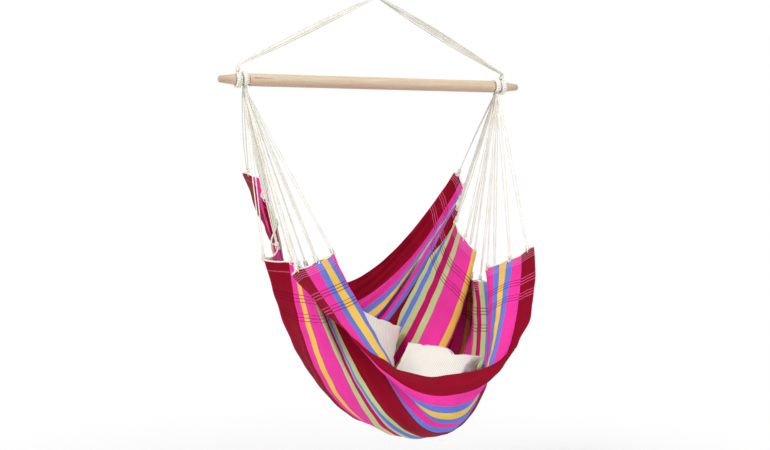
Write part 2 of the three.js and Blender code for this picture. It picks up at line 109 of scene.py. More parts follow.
# Camera, at the photograph's place
VIEW_TURN = math.radians(27)
VIEW_FALL = math.radians(3.1)
VIEW_DISTANCE = 4.2
VIEW_PIXELS = 1283
PHOTO_WIDTH = 770
PHOTO_HEIGHT = 450
BAR_PIXEL = (376.5, 83.4)
SENSOR = 36


def make_camera():
    forward = Vector((math.sin(VIEW_TURN), math.cos(VIEW_TURN), 0)) * math.cos(VIEW_FALL)
    forward.z = -math.sin(VIEW_FALL)
    right = Vector((math.cos(VIEW_TURN), -math.sin(VIEW_TURN), 0))
    up = right.cross(forward)
    across = (BAR_PIXEL[0] - PHOTO_WIDTH / 2) / VIEW_PIXELS * VIEW_DISTANCE
    rise = (PHOTO_HEIGHT / 2 - BAR_PIXEL[1]) / VIEW_PIXELS * VIEW_DISTANCE
    data = bpy.data.cameras.new("camera")
    data.sensor_width = SENSOR
    data.lens = SENSOR * VIEW_PIXELS / PHOTO_WIDTH
    camera = link(bpy.data.objects.new("camera", data))
    camera.location = Vector(BAR) - forward * VIEW_DISTANCE - right * across - up * rise
    camera.rotation_euler = forward.to_track_quat("-Z", "Y").to_euler()
    bpy.context.scene.camera = camera


make_camera()


# Colours, as they look on the screen
def colour(red, green, blue):
    def linear(value):
        share = value / 255
        return share / 12.92 if share <= 0.04045 else ((share + 0.055) / 1.055) ** 2.4

    return (linear(red), linear(green), linear(blue), 1)


def colours(*tints):
    return [colour(*tint) for tint in tints]


# Each stripe's colour, that of a weft line over it, and that of the line on the underside
BURGUNDY = colours((148, 4, 37), (236, 92, 140), (112, 2, 28))
PINK = colours((246, 60, 168), (168, 26, 112), (196, 30, 128))
MAGENTA = colours((198, 18, 108), (128, 14, 76), (150, 12, 84))
BLUE = colours((106, 131, 224), (88, 44, 138), (80, 84, 176))
YELLOW = colours((250, 204, 92), (160, 62, 54), (176, 112, 58))
GREEN = colours((198, 213, 148), (134, 70, 82), (150, 142, 104))
STITCH = colour(252, 168, 204)
COTTON = colour(251, 249, 241)
COTTON_SHADE = colour(230, 226, 209)


class Nodes:
    """A material's node tree, written as expressions."""

    def __init__(self, owner):
        owner.use_nodes = True
        self.owner = owner
        self.tree = owner.node_tree

    def feed(self, socket, value):
        if isinstance(value, bpy.types.NodeSocket):
            self.tree.links.new(value, socket)
        else:
            socket.default_value = value

    def add(self, kind, *values, **settings):
        """A node with these settings, and these values or outputs for its first inputs."""
        node = self.tree.nodes.new(kind)
        for name, setting in settings.items():
            setattr(node, name, setting)
        for socket, value in zip(node.inputs, values):
            self.feed(socket, value)
        return node

    def math(self, operation, *values):
        return self.add("ShaderNodeMath", *values, operation=operation).outputs[0]

    def times(self, first, second):
        return self.math("MULTIPLY", first, second)

    def plus(self, first, second):
        return self.math("ADD", first, second)

    def minus(self, first, second):
        return self.math("SUBTRACT", first, second)

    def apart(self, vector):
        return self.add("ShaderNodeSeparateXYZ", vector).outputs

    def uv(self):
        return self.apart(self.add("ShaderNodeUVMap", uv_map="UVMap").outputs[0])[:2]

    def vector(self, *places):
        return self.add("ShaderNodeCombineXYZ", *places).outputs[0]

    def noise(self, vector, scale, detail=2.0):
        return self.add("ShaderNodeTexNoise", vector, 0.0, scale, detail).outputs["Fac"]

    def grain(self, places, scales, detail=2.0):
        """Noise with a scale of its own in each direction."""
        stretched = self.vector(*[self.times(place, scale) for place, scale in zip(places, scales)])
        return self.noise(stretched, 1.0, detail)

    def spread(self, value, low, high, to_low=0.0, to_high=1.0):
        return self.add("ShaderNodeMapRange", value, low, high, to_low, to_high).outputs[0]

    def mix(self, share, first, second, blend="MIX"):
        node = self.add("ShaderNodeMix", data_type="RGBA", blend_type=blend)
        self.feed(node.inputs[0], share)
        self.feed(node.inputs[6], first)
        self.feed(node.inputs[7], second)
        return node.outputs[2]

    def shaded(self, tint, shade):
        return self.mix(1.0, tint, self.vector(shade, shade, shade), "MULTIPLY")

    def ramp(self, value, stops):
        """Steps of colour, each from its place on."""
        node = self.add("ShaderNodeValToRGB", value)
        ramp = node.color_ramp
        ramp.interpolation = "CONSTANT"
        while len(ramp.elements) > 1:
            ramp.elements.remove(ramp.elements[-1])
        ramp.elements[0].position = stops[0][0]
        ramp.elements[0].color = stops[0][1]
        for place, tint in stops[1:]:
            ramp.elements.new(place).color = tint
        return node.outputs[0]

    def bump(self, height, distance, strength):
        node = self.add("ShaderNodeBump", strength, distance)
        self.feed(node.inputs["Height"], height)
        return node.outputs[0]

    def place(self):
        return self.add("ShaderNodeTexCoord").outputs["Object"]

    def finish(self, tint, roughness, normal=None, metallic=0.0, sheen=0.0, specular=0.5):
        inputs = self.tree.nodes["Principled BSDF"].inputs
        values = {
            "Base Color": tint, "Roughness": roughness, "Metallic": metallic,
            "Sheen Weight": sheen, "Sheen Roughness": 0.5, "Specular IOR Level": specular,
        }
        if normal is not None:
            values["Normal"] = normal
        for name, value in values.items():
            self.feed(inputs[name], value)
        return self.owner


# The cloth's stripes from a selvedge to the middle, as (colour, width in metres)
STRIPES = (
    (BURGUNDY, 0.080), (PINK, 0.040), (BLUE, 0.025), (YELLOW, 0.025), (BLUE, 0.025),
    (PINK, 0.040), (BLUE, 0.025), (BURGUNDY, 0.085), (GREEN, 0.025), (BLUE, 0.020),
    (GREEN, 0.025), (MAGENTA, 0.030), (GREEN, 0.025), (PINK, 0.075), (YELLOW, 0.025),
    (PINK, 0.025), (BURGUNDY, 0.035),
)
STRIPE_WANDER = 0.0022

# Weft lines: where each group starts from the hem, and its lines
WEFT_GROUPS = (0.095, 0.155)
WEFT_LINES = 3
WEFT_PITCH = 0.011
WEFT_WIDTH = 0.0028
WEFT_REACH = 0.2
WEFT_SHARE = 0.9

# The hem's stitches, of which only the last row shows on the underside
HEM_DEPTH = 0.034
STITCH_ROWS = (0.006, 0.0135, 0.021, 0.0285)
STITCH_WIDTH = 0.0020
STITCH_PITCH = 0.0044
STITCH_DASH = 0.84
STITCH_REACH = 0.04
STITCH_SHARE = 0.62
STITCH_UNDER = 0.8
LAST_ROW = STITCH_ROWS[-1] - 0.002
THREAD = 0.0011


def stripe_stops(kind):
    """The stripes' colours of one kind, each from its place on."""
    stops = []
    reached = 0.0
    for tints, width in STRIPES:
        stops.append((reached / (CLOTH_WIDTH / 2), tints[kind]))
        reached += width
    return stops


def hem_lines(nodes, from_hem, starts, width, reach):
    """White on black for lines at these distances from the hem, all of them within the reach."""
    stops = [(0.0, BLACK)]
    for start in starts:
        stops.append((start / reach, WHITE))
        stops.append(((start + width) / reach, BLACK))
    return nodes.ramp(nodes.math("DIVIDE", from_hem, reach), stops)


def striped_cloth(nodes):
    across, along_length = places = nodes.uv()
    wander = nodes.minus(nodes.grain(places, (300.0, 26.0)), 0.5)
    across_soft = nodes.math("MULTIPLY_ADD", wander, STRIPE_WANDER, across)
    from_middle = nodes.math("ABSOLUTE", nodes.minus(across_soft, CLOTH_WIDTH / 2))
    share = nodes.minus(1.0, nodes.math("DIVIDE", from_middle, CLOTH_WIDTH / 2))
    tint, above, below = (nodes.ramp(share, stripe_stops(kind)) for kind in range(3))
    from_hem = nodes.math("MINIMUM", along_length, nodes.minus(CLOTH_LENGTH, along_length))
    starts = [group + i * WEFT_PITCH for group in WEFT_GROUPS for i in range(WEFT_LINES)]
    lines = hem_lines(nodes, from_hem, starts, WEFT_WIDTH, WEFT_REACH)
    under = nodes.add("ShaderNodeAttribute", attribute_name="underside").outputs["Fac"]
    tint = nodes.mix(nodes.times(lines, WEFT_SHARE), tint, nodes.mix(under, above, below))
    rows = hem_lines(nodes, from_hem, STITCH_ROWS, STITCH_WIDTH, STITCH_REACH)
    last_row = nodes.times(nodes.math("GREATER_THAN", from_hem, LAST_ROW), STITCH_UNDER)
    shown = nodes.math("MAXIMUM", nodes.minus(1.0, under), last_row)
    along_row = nodes.math("FRACT", nodes.math("DIVIDE", across, STITCH_PITCH))
    dash = nodes.math("LESS_THAN", along_row, STITCH_DASH)
    stitches = nodes.times(nodes.times(rows, dash), shown)
    tint = nodes.mix(nodes.times(stitches, STITCH_SHARE), tint, STITCH)
    warp = nodes.grain(places, (900.0, 5.0), 3.0)
    weft = nodes.grain(places, (7.0, 700.0), 3.0)
    cloudy = nodes.noise(nodes.vector(across, along_length), 9.0, 4.0)
    shade = nodes.spread(warp, 0.25, 0.75, 0.86, 1.07)
    shade = nodes.plus(shade, nodes.spread(weft, 0.25, 0.75, -0.05, 0.05))
    tint = nodes.shaded(tint, nodes.times(shade, nodes.spread(cloudy, 0.3, 0.7, 0.93, 1.05)))
    warp_wave, weft_wave = (nodes.math("SINE", nodes.times(place, TURN / THREAD)) for place in places)
    height = nodes.plus(nodes.times(nodes.times(warp_wave, weft_wave), 0.22), nodes.times(warp, 0.5))
    height = nodes.plus(height, nodes.times(stitches, 1.3))
    height = nodes.plus(height, nodes.times(lines, 0.3))
    normal = nodes.bump(height, 0.0006, 0.6)
    return nodes.finish(tint, nodes.spread(warp, 0.2, 0.8, 0.78, 0.92), normal, sheen=0.03, specular=0.1)


# Cords are laid from this many yarns, which go once round in this length
CORD_YARNS = 3
CORD_LAY = 0.014


def cotton_cord(nodes):
    around, along_length = places = nodes.uv()
    fibre = nodes.grain(places, (9.0, 24.0), 3.0)
    turn = nodes.plus(around, nodes.math("DIVIDE", along_length, CORD_LAY))
    yarns = nodes.math("ABSOLUTE", nodes.math("SINE", nodes.times(turn, CORD_YARNS * math.pi)))
    cloudy = nodes.noise(nodes.place(), 22.0, 3.0)
    blended = nodes.plus(nodes.times(fibre, 0.6), nodes.times(cloudy, 0.4))
    tint = nodes.mix(nodes.spread(blended, 0.42, 0.66), COTTON, COTTON_SHADE)
    normal = nodes.bump(nodes.plus(nodes.times(yarns, 0.5), nodes.times(fibre, 0.5)), 0.0003, 0.2)
    return nodes.finish(tint, nodes.spread(fibre, 0.2, 0.8, 0.82, 0.95), normal, sheen=0.3, specular=0.1)


GRAIN_PALE = colour(226, 210, 180)
GRAIN_MIDDLE = colour(213, 188, 160)
GRAIN_DARK = colour(192, 160, 134)
# Painted shade: a darker, pinker tint for the bar's lower side, standing in for its shade and the pink
# light thrown up from the cloth
UNDERSIDE_PAINTED_SHADE = colour(212, 176, 156)
GRAIN_RINGS = 34.0
KNOB_TINT = colour(168, 142, 120)
KNOB_SHADE = 0.06

# The crack runs along the bar between these places, at this turn round it
CRACK_START = -0.4335
CRACK_END = -0.362
CRACK_TURN = math.radians(16)
CRACK_WIDTH = 0.0013
CRACK_WANDER = 0.002
CRACK_TINT = colour(96, 66, 52)


def bar_wood(nodes):
    x, y, z = nodes.apart(nodes.place())
    height = nodes.minus(z, BAR[2])
    bend = nodes.grain((x, y, height), (2.2, 42.0, 42.0), 3.0)
    rings = nodes.math("SINE", nodes.times(bend, GRAIN_RINGS))
    fleck = nodes.grain((x, y, height), (55.0, 900.0, 900.0))
    tint = nodes.mix(nodes.spread(rings, -1.0, 1.0, 0.1, 0.75), GRAIN_PALE, GRAIN_MIDDLE)
    tint = nodes.mix(nodes.times(nodes.spread(fleck, 0.56, 0.7), 0.5), tint, GRAIN_DARK)
    # Painted shade: the colour turns darker and pinker towards the bar's lower side, as if shaded and lit
    # by the pink cloth below
    painted_underside_shade = nodes.spread(height, -BAR_RADIUS, BAR_RADIUS * 0.5, 0.7, 0.0)
    tint = nodes.mix(painted_underside_shade, tint, UNDERSIDE_PAINTED_SHADE)
    off_middle = nodes.math("ABSOLUTE", x)
    knob = nodes.spread(off_middle, BAR_HALF - KNOB_SHADE, BAR_HALF, 0.0, 0.55)
    tint = nodes.mix(knob, tint, KNOB_TINT)
    wander = nodes.times(nodes.minus(nodes.grain((x,), (60.0,)), 0.5), CRACK_WANDER)
    line = BAR_RADIUS * math.sin(CRACK_TURN)
    off_line = nodes.math("ABSOLUTE", nodes.minus(nodes.plus(height, wander), line))
    left = nodes.minus(1.0, nodes.spread(x, CRACK_START, CRACK_END))
    inside = nodes.math("LESS_THAN", off_line, nodes.times(left, CRACK_WIDTH))
    in_front = nodes.math("LESS_THAN", y, BAR[1])
    past_start = nodes.math("GREATER_THAN", x, CRACK_START)
    in_run = nodes.times(past_start, nodes.math("LESS_THAN", x, CRACK_END))
    crack = nodes.times(nodes.times(inside, in_front), in_run)
    tint = nodes.mix(nodes.times(crack, 0.8), tint, CRACK_TINT)
    relief = nodes.minus(nodes.times(rings, 0.12), nodes.times(crack, 3.0))
    normal = nodes.bump(nodes.minus(relief, nodes.times(fleck, 0.4)), 0.0004, 0.6)
    return nodes.finish(tint, nodes.spread(bend, 0.3, 0.7, 0.42, 0.58), normal, specular=0.4)


STEEL_PALE = colour(206, 208, 210)
STEEL_DARK = colour(172, 174, 178)


def ring_steel(nodes):
    place = nodes.place()
    cloudy = nodes.noise(place, 60.0, 4.0)
    normal = nodes.bump(nodes.noise(place, 900.0), 0.0001, 0.35)
    tint = nodes.mix(nodes.spread(cloudy, 0.35, 0.7), STEEL_PALE, STEEL_DARK)
    return nodes.finish(tint, nodes.spread(cloudy, 0.3, 0.7, 0.2, 0.36), normal, metallic=1.0)


CUSHION_PALE = colour(255, 255, 247)
CUSHION_RIB = colour(190, 200, 158)
RIB_PITCH = 0.0068
RIB_WOBBLE = 0.0016
RIB_SHARE = 0.55


def cushion_cloth(nodes):
    across, along_length = places = nodes.uv()
    shifted = nodes.math("MULTIPLY_ADD", nodes.grain(places, (40.0, 12.0)), RIB_WOBBLE, across)
    wave = nodes.math("SINE", nodes.times(shifted, TURN / RIB_PITCH))
    groove = nodes.spread(wave, -1.0, -0.3, 1.0, 0.0)
    yarn = nodes.grain(places, (260.0, 900.0))
    cloudy = nodes.noise(nodes.vector(across, along_length), 14.0, 4.0)
    tint = nodes.mix(nodes.times(groove, RIB_SHARE), CUSHION_PALE, CUSHION_RIB)
    shade = nodes.spread(yarn, 0.2, 0.8, 0.95, 1.03)
    shade = nodes.times(shade, nodes.spread(cloudy, 0.3, 0.7, 0.96, 1.02))
    normal = nodes.bump(nodes.plus(nodes.times(wave, 0.7), nodes.times(yarn, 0.35)), 0.0007, 0.7)
    roughness = nodes.spread(yarn, 0.2, 0.8, 0.85, 0.96)
    return nodes.finish(nodes.shaded(tint, shade), roughness, normal, sheen=0.2, specular=0.2)


MATERIALS = {
    maker.__name__: maker(Nodes(bpy.data.materials.new(maker.__name__)))
    for maker in (striped_cloth, cotton_cord, bar_wood, ring_steel, cushion_cloth)
}


def circle(count):
    """Angles evenly round a circle."""
    return np.linspace(0, TURN, count + 1)[:-1]


def stacked(*parts):
    return np.stack(np.broadcast_arrays(*parts), axis=-1)


def unit(vectors):
    return vectors / np.maximum(np.linalg.norm(vectors, axis=-1, keepdims=True), 1e-12)


def points_of(mesh):
    return np.array([vertex.co for vertex in mesh.vertices])


def quads(numbers, flip=False):
    """Faces between the rows and columns of a grid of point numbers."""
    corners = [numbers[:-1, :-1], numbers[1:, :-1], numbers[1:, 1:], numbers[:-1, 1:]]
    if flip:
        corners.reverse()
    return np.stack(corners, axis=-1).reshape(-1, 4).tolist()


def lengths_along(path):
    return np.concatenate([[0.0], np.cumsum(np.linalg.norm(np.diff(path, axis=0), axis=1))])


def frames_along(path):
    """Two directions across a path, turning as little as they can, and the length so far."""
    tangents = unit(np.gradient(path, axis=0))
    normals = np.zeros_like(path)
    start = np.array([0.0, 1.0, 0.0] if abs(tangents[0][1]) < 0.8 else [1.0, 0.0, 0.0])
    for i, tangent in enumerate(tangents):
        start = start - tangent * np.dot(start, tangent)
        start = start / np.linalg.norm(start)
        normals[i] = start
    return normals, np.cross(tangents, normals), lengths_along(path)


def evenly(path, count):
    """The same path in this many even steps."""
    lengths = lengths_along(path)
    wanted = np.linspace(0, lengths[-1], count + 1)
    return np.stack([np.interp(wanted, lengths, places) for places in path.T], axis=1)


SMOOTH_STEPS = 12


def smooth_path(points, step):
    """A smooth curve through points, Catmull and Rom's, in even steps of about this length."""
    points = np.asarray(points, float)
    ends = np.concatenate([[2 * points[0] - points[1]], points, [2 * points[-1] - points[-2]]])
    parts = []
    t = np.linspace(0, 1, SMOOTH_STEPS, endpoint=False)[:, None]
    for a, b, c, d in zip(ends[:-3], ends[1:-2], ends[2:-1], ends[3:]):
        parts.append(0.5 * (2 * b + (c - a) * t + (2 * a - 5 * b + 4 * c - d) * t**2
                            + (3 * b - a - 3 * c + d) * t**3))
    path = np.concatenate([*parts, points[-1:]])
    return evenly(path, max(int(round(lengths_along(path)[-1] / step)), 2))


def clothe(mesh, uvs, material):
    """Gives a mesh its material, and each point its place on the flat material."""
    corners = np.zeros(len(mesh.loops), np.int32)
    mesh.loops.foreach_get("vertex_index", corners)
    layer = mesh.uv_layers.new(name="UVMap")
    layer.data.foreach_set("uv", uvs[corners].astype(np.float32).ravel())
    mesh.polygons.foreach_set("use_smooth", np.ones(len(mesh.polygons), bool))
    mesh.materials.append(MATERIALS[material])
    mesh.update()


def dress(piece, node, replaces=True):
    """The piece rides on the node's body, and takes the node's place unless it only adds to it."""
    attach(piece, frame["nodes"][node]["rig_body"])
    if replaces:
        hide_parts(node)
    return piece


class Skin:
    """Gathers grids of points, with their places on the flat material, into one mesh."""

    def __init__(self):
        self.points, self.uvs, self.faces = [], [], []
        self.count = 0

    def grid(self, points, uvs, round_columns=False, round_rows=False, flip=False):
        rows, columns = points.shape[:2]
        numbers = np.arange(rows * columns).reshape(rows, columns) + self.count
        if round_columns:
            numbers = np.concatenate([numbers, numbers[:, :1]], axis=1)
        if round_rows:
            numbers = np.concatenate([numbers, numbers[:1]], axis=0)
        self.faces.extend(quads(numbers, flip))
        self.points.append(points.reshape(-1, 3))
        self.uvs.append(uvs.reshape(-1, 2))
        self.count += rows * columns
        return numbers

    def rings(self, points, uvs, closed=False):
        """A row of rings, joined end to end or with a face over each end."""
        numbers = self.grid(points, uvs, round_columns=True, round_rows=closed, flip=True)
        if not closed:
            self.faces.append(numbers[0, -2::-1].tolist())
            self.faces.append(numbers[-1, :-1].tolist())

    def tube(self, path, radius, sides, lay=0.0, lobe_depth=0.0, closed=False):
        """A cord along a path. A lay twists it, and its yarns stand out by the lobes' depth."""
        normals, binormals, lengths = frames_along(path)
        corner = TURN * np.arange(sides) / sides
        angle = corner + (TURN * lengths / lay if lay else 0 * lengths)[:, None]
        reach = radius * (1 - lobe_depth + lobe_depth * np.abs(np.cos(CORD_YARNS * corner / 2)))
        out = normals[:, None] * np.cos(angle)[..., None] + binormals[:, None] * np.sin(angle)[..., None]
        points = path[:, None] + out * reach[:, None]
        self.rings(points, stacked(corner / TURN, lengths[:, None]), closed)

    def piece(self, name, node, slot="cotton_cord", replaces=True):
        mesh = bpy.data.meshes.new(name)
        mesh.from_pydata(np.concatenate(self.points).tolist(), [], self.faces)
        clothe(mesh, np.concatenate(self.uvs), slot)
        return dress(link(bpy.data.objects.new(name, mesh)), node, replaces)


# The hung cloth: across it, front to back, a place as a share of the width, then how far out,
# back and down it lies, as shares of the eye's reach, the seat's depth and its drop
RIGHT_HEM = (
    (0, 0.895, -0.37, 0.47), (0.063, 0.899, -0.283, 0.498), (0.095, 0.856, -0.256, 0.513),
    (0.143, 0.78, -0.205, 0.531), (0.187, 0.742, -0.152, 0.55), (0.218, 0.8, -0.115, 0.57),
    (0.254, 0.85, -0.12, 0.583), (0.294, 0.82, -0.085, 0.589), (0.333, 0.77, -0.055, 0.588),
    (0.373, 0.765, -0.005, 0.587), (0.421, 0.875, 0.1, 0.572), (0.46, 0.9, 0.155, 0.545),
    (0.504, 0.8, 0.09, 0.52), (0.548, 0.74, -0.07, 0.5), (0.583, 0.705, -0.045, 0.476),
    (0.627, 0.765, 0.08, 0.455), (0.675, 0.82, 0.185, 0.42), (0.726, 0.87, 0.205, 0.39),
    (0.762, 0.87, 0.222, 0.373), (0.794, 0.88, 0.232, 0.36), (0.841, 0.915, 0.238, 0.345),
    (0.889, 0.945, 0.245, 0.318), (0.937, 0.935, 0.262, 0.281), (1, 0.915, 0.29, 0.262),
)
LEFT_HEM = (
    (0, 0.91, -0.373, 0.52), (0.063, 0.795, -0.323, 0.508), (0.095, 0.7, -0.296, 0.5),
    (0.143, 0.573, -0.256, 0.487), (0.187, 0.5, -0.213, 0.48), (0.212, 0.52, -0.19, 0.488),
    (0.24, 0.575, -0.185, 0.498), (0.286, 0.672, -0.219, 0.508), (0.341, 0.737, -0.263, 0.512),
    (0.373, 0.787, -0.297, 0.509), (0.395, 0.794, -0.284, 0.506), (0.433, 0.773, -0.231, 0.502),
    (0.472, 0.793, -0.183, 0.5), (0.5, 0.858, -0.157, 0.498), (0.528, 0.927, -0.129, 0.497),
    (0.571, 0.84, -0.087, 0.487), (0.603, 0.78, -0.057, 0.47), (0.635, 0.83, -0.05, 0.45),
    (0.675, 0.77, -0.022, 0.407), (0.726, 0.79, 0.03, 0.345), (0.762, 0.82, 0.035, 0.333),
    (0.794, 0.84, 0.035, 0.322), (0.841, 0.79, 0.055, 0.306), (0.889, 0.79, 0.07, 0.279),
    (0.937, 0.85, 0.107, 0.268), (1, 0.82, 0.27, 0.258),
)
MIDDLE = (
    (0, 0, -0.56, 0.797), (0.063, 0, -0.61, 0.842), (0.135, 0, -0.6, 0.907), (0.206, 0, -0.54, 0.95),
    (0.317, 0, -0.36, 0.992), (0.5, 0, -0.05, 0.985), (0.675, 0, 0.195, 0.918), (0.794, 0, 0.32, 0.823),
    (0.897, 0, 0.395, 0.72), (1, 0, 0.437, 0.618),
)
RIGHT_BELLY = (
    (0, 0.105, 0, 0.06), (0.053, 0.045, 0, 0.05), (0.1, -0.035, 0, 0.035), (0.15, 0.01, 0, 0.015),
    (0.2, 0.055, 0, 0.015), (0.36, 0.115, 0, 0.03), (0.55, 0.06, 0, 0), (0.71, 0, 0, -0.03),
    (1, 0, 0, 0),
)
LEFT_BELLY = (
    (0, 0.01, -0.02, -0.005), (0.1, -0.02, -0.03, 0.03), (0.158, -0.075, -0.025, 0.03),
    (0.186, -0.015, -0.01, 0.03), (0.213, -0.02, -0.035, 0.02), (0.274, 0.01, -0.02, 0.015),
    (0.36, -0.03, -0.03, 0.045), (0.433, 0.03, 0, 0.03), (0.472, 0.06, 0, 0.03), (0.53, 0.03, 0, 0.02),
    (0.71, 0.02, 0, -0.03), (1, 0, 0, 0),
)
HUMP_PEAK = 4 / 27
CLOTH_COLUMNS = 252
CLOTH_ROWS = 210
WARP_SAMPLES = 240

# Places on the flat cloth, and how far they are from its edges
ACROSS = np.linspace(0, CLOTH_WIDTH, CLOTH_COLUMNS + 1)[None, :]
ALONG = np.linspace(0, CLOTH_LENGTH, CLOTH_ROWS + 1)[:, None]
FROM_BACK = CLOTH_WIDTH - ACROSS
FROM_RIGHT = CLOTH_LENGTH - ALONG
FROM_SELVEDGE = np.minimum(ACROSS, FROM_BACK)
FROM_HEM = np.minimum(ALONG, FROM_RIGHT)


def near(distance, reach):
    """1 at no distance, fading over this reach."""
    return np.exp(-distance / reach)


def bell(value, place, width):
    return np.exp(-(((value - place) / width) ** 2))


def humped(share):
    """Rises to 1 at a third of the way and falls off to the end."""
    share = np.clip(share, 0, 1)
    return share * (1 - share) ** 2 / HUMP_PEAK


def along(table, v, side):
    """A smooth curve through a table of shares, as an offset from the middle of the bar."""
    rows = np.array(table, float)
    places = rows[:, 0]
    rises = np.diff(rows, axis=0) / np.diff(places)[:, None]
    before, after = np.diff(places)[:-1, None], np.diff(places)[1:, None]
    inner = (after * rises[:-1] + before * rises[1:]) / (before + after)
    slopes = np.concatenate([rises[:1], inner, rises[-1:]])
    i = np.clip(np.searchsorted(places, v, side="left") - 1, 0, len(rows) - 2)
    width = (places[i + 1] - places[i])[:, None]
    t = ((v - places[i])[:, None]) / width
    value = (
        (2 * t**3 - 3 * t**2 + 1) * rows[i]
        + (t**3 - 2 * t**2 + t) * width * slopes[i]
        + (3 * t**2 - 2 * t**3) * rows[i + 1]
        + (t**3 - t**2) * width * slopes[i + 1]
    )
    return value[:, 1:] * HUNG * (side, 1, 1)


def hung_cloth():
    """Points of the hung cloth: [place from the left hem to the right, place from front to back]."""
    v = np.linspace(0, 1, CLOTH_COLUMNS + 1)
    left, right = along(LEFT_HEM, v, -1), along(RIGHT_HEM, v, 1)
    sag = along(MIDDLE, v, 1) - (left + right) / 2
    left_belly, right_belly = along(LEFT_BELLY, v, -1), along(RIGHT_BELLY, v, 1)
    t = np.linspace(0, 1, WARP_SAMPLES + 1)[:, None, None]
    lines = left + (right - left) * t + 4 * t * (1 - t) * sag
    lines = lines + humped(2 * t) * left_belly + humped(2 * (1 - t)) * right_belly
    return np.stack([evenly(lines[:, j], CLOTH_ROWS) for j in range(CLOTH_COLUMNS + 1)], axis=1) + BAR


def surface_normals(points):
    """Directions out of the cloth's upper side."""
    down, back = (unit(np.gradient(points, axis=axis)) for axis in (0, 1))
    return unit(np.cross(down, back))


def ripples(first, second, waves, seed):
    """Smooth unevenness: sets of waves, each with its count and its range of lengths in both ways."""
    draw = np.random.default_rng(seed)
    total = np.zeros(np.broadcast(first, second).shape)
    for count, first_range, second_range in waves:
        for _ in range(count):
            a = TURN / draw.uniform(*first_range)
            b = TURN / draw.uniform(*second_range) * draw.choice([-1, 1])
            total += np.cos(a * first + b * second + draw.uniform(0, TURN)) / math.sqrt(count)
    return total


# How the cloth is drawn up at each cord, and how it creases: heights, and sets of waves
SCALLOP = 0.004
PUCKER = 0.0022
PUCKER_PULL = (0.5, 1.4)
CRIMP = 0.0007
CRIMPS_A_CORD = 3.3
LONG_CREASE = 0.0016
LONG_WAVES = ((9, (0.035, 0.08), (0.5, 1.6)), (6, (0.09, 0.2), (0.3, 0.9)))
CROSS_CREASE = 0.0010
CROSS_WAVES = ((7, (0.2, 0.7), (0.06, 0.16)),)
RUFFLE = 0.0026
RUFFLE_WAVES = ((7, (1, 2), (0.07, 0.24)),)
CLOTH_THICKNESS = 0.0012
HEM_EXTRA = 0.0010
HEM_EDGE = 0.0012
SELVEDGE_HEM = 0.009


def shaped_cloth():
    """Points of the cloth with its folds, and how far its stripes slide in the pleats."""
    points = hung_cloth()
    normals = surface_normals(points)
    inward = np.where(ALONG < CLOTH_LENGTH / 2, 1, -1)[..., None] * unit(np.gradient(points, axis=0))
    cord_place = FAN_COUNT * ACROSS / CLOTH_WIDTH - 0.5
    wave = np.cos(TURN * cord_place)
    points = points + inward * (SCALLOP * (1 - wave) / 2 * near(FROM_HEM, 0.03))[..., None]
    pulls = np.random.default_rng(11).uniform(*PUCKER_PULL, FAN_COUNT + 1)
    strength = np.interp(ACROSS[0] / CLOTH_WIDTH * FAN_COUNT, np.arange(FAN_COUNT + 1), pulls)
    lift = PUCKER * strength * wave * near(FROM_HEM, 0.13) * (1 - near(FROM_HEM, 0.02))
    lift += CRIMP * np.cos(TURN * CRIMPS_A_CORD * cord_place) * near(FROM_HEM, 0.05)
    lift += LONG_CREASE * ripples(ACROSS, ALONG, LONG_WAVES, seed=5) * (1 - near(FROM_HEM, 0.12))
    lift += CROSS_CREASE * ripples(ACROSS, ALONG, CROSS_WAVES, seed=8)
    ruffle = ripples(ACROSS * 0, ALONG, RUFFLE_WAVES, seed=3)
    lift += RUFFLE * ruffle * near(FROM_SELVEDGE, 0.03) * (1 - near(FROM_HEM, 0.06))
    return pleated(points + normals * lift[..., None])


# Pleats below the right hem: how far from the back selvedge, half width, overlap, rise, and
# where along the cloth from that hem they begin, are full, begin to fade and end
PLEATS = (
    (0.352, 0.075, 0.062, 0.019, (0.04, 0.20, 0.38, 0.54)),
    (0.205, 0.060, 0.036, -0.012, (0.20, 0.36, 0.62, 0.82)),
)
PLEAT_TAKEN = 0.6
VALLEY_PLACE = 0.68
VALLEY_WIDTH = 0.034
VALLEY_DEPTH = 0.020
VALLEY_RUN = (0.03, 0.12, 0.34, 0.50)


def eased(value, low, high):
    share = np.clip((value - low) / (high - low), 0, 1)
    return share**2 * (3 - 2 * share)


def run_of(value, run):
    return eased(value, run[0], run[1]) * (1 - eased(value, run[2], run[3]))


def pleated(points):
    """The cloth with its pleats laid in and its valley pressed out, and how far its stripes slide there."""
    normals = surface_normals(points)
    steps = -np.gradient(points, axis=1)
    gathered = np.linalg.norm(steps, axis=-1) * CLOTH_COLUMNS / CLOTH_WIDTH
    slide = np.zeros(points.shape[:2])
    for place, half, overlap, rise, run in PLEATS:
        t = np.clip((FROM_BACK - place) / half, -1, 1)
        held = np.abs(t[0]) < 1
        forward = unit(steps[:, held].mean(axis=1))[:, None]
        out = unit(normals[:, held].mean(axis=1))[:, None]
        reach = overlap * gathered[:, held].mean(axis=1)[:, None]
        wave = np.sin(math.pi * t) * (1 - t**2) * run_of(FROM_RIGHT, run)
        points = points - forward * (reach * wave)[..., None] + out * (rise * wave)[..., None]
        slide += PLEAT_TAKEN * overlap * wave
    valley = bell(FROM_BACK, VALLEY_PLACE, VALLEY_WIDTH) * run_of(FROM_RIGHT, VALLEY_RUN)
    return points - normals * (VALLEY_DEPTH * valley)[..., None], slide


# How the stripes spread over the right shoulder of the back
DRIFT = 0.05
DRIFT_REACH = 0.45
DRIFT_PLACE = 0.27
DRIFT_LENGTH = 0.28


def within(distance, depth):
    """1 within this depth of an edge and 0 past it."""
    return 1 / (1 + np.exp((distance - depth) / HEM_EDGE))


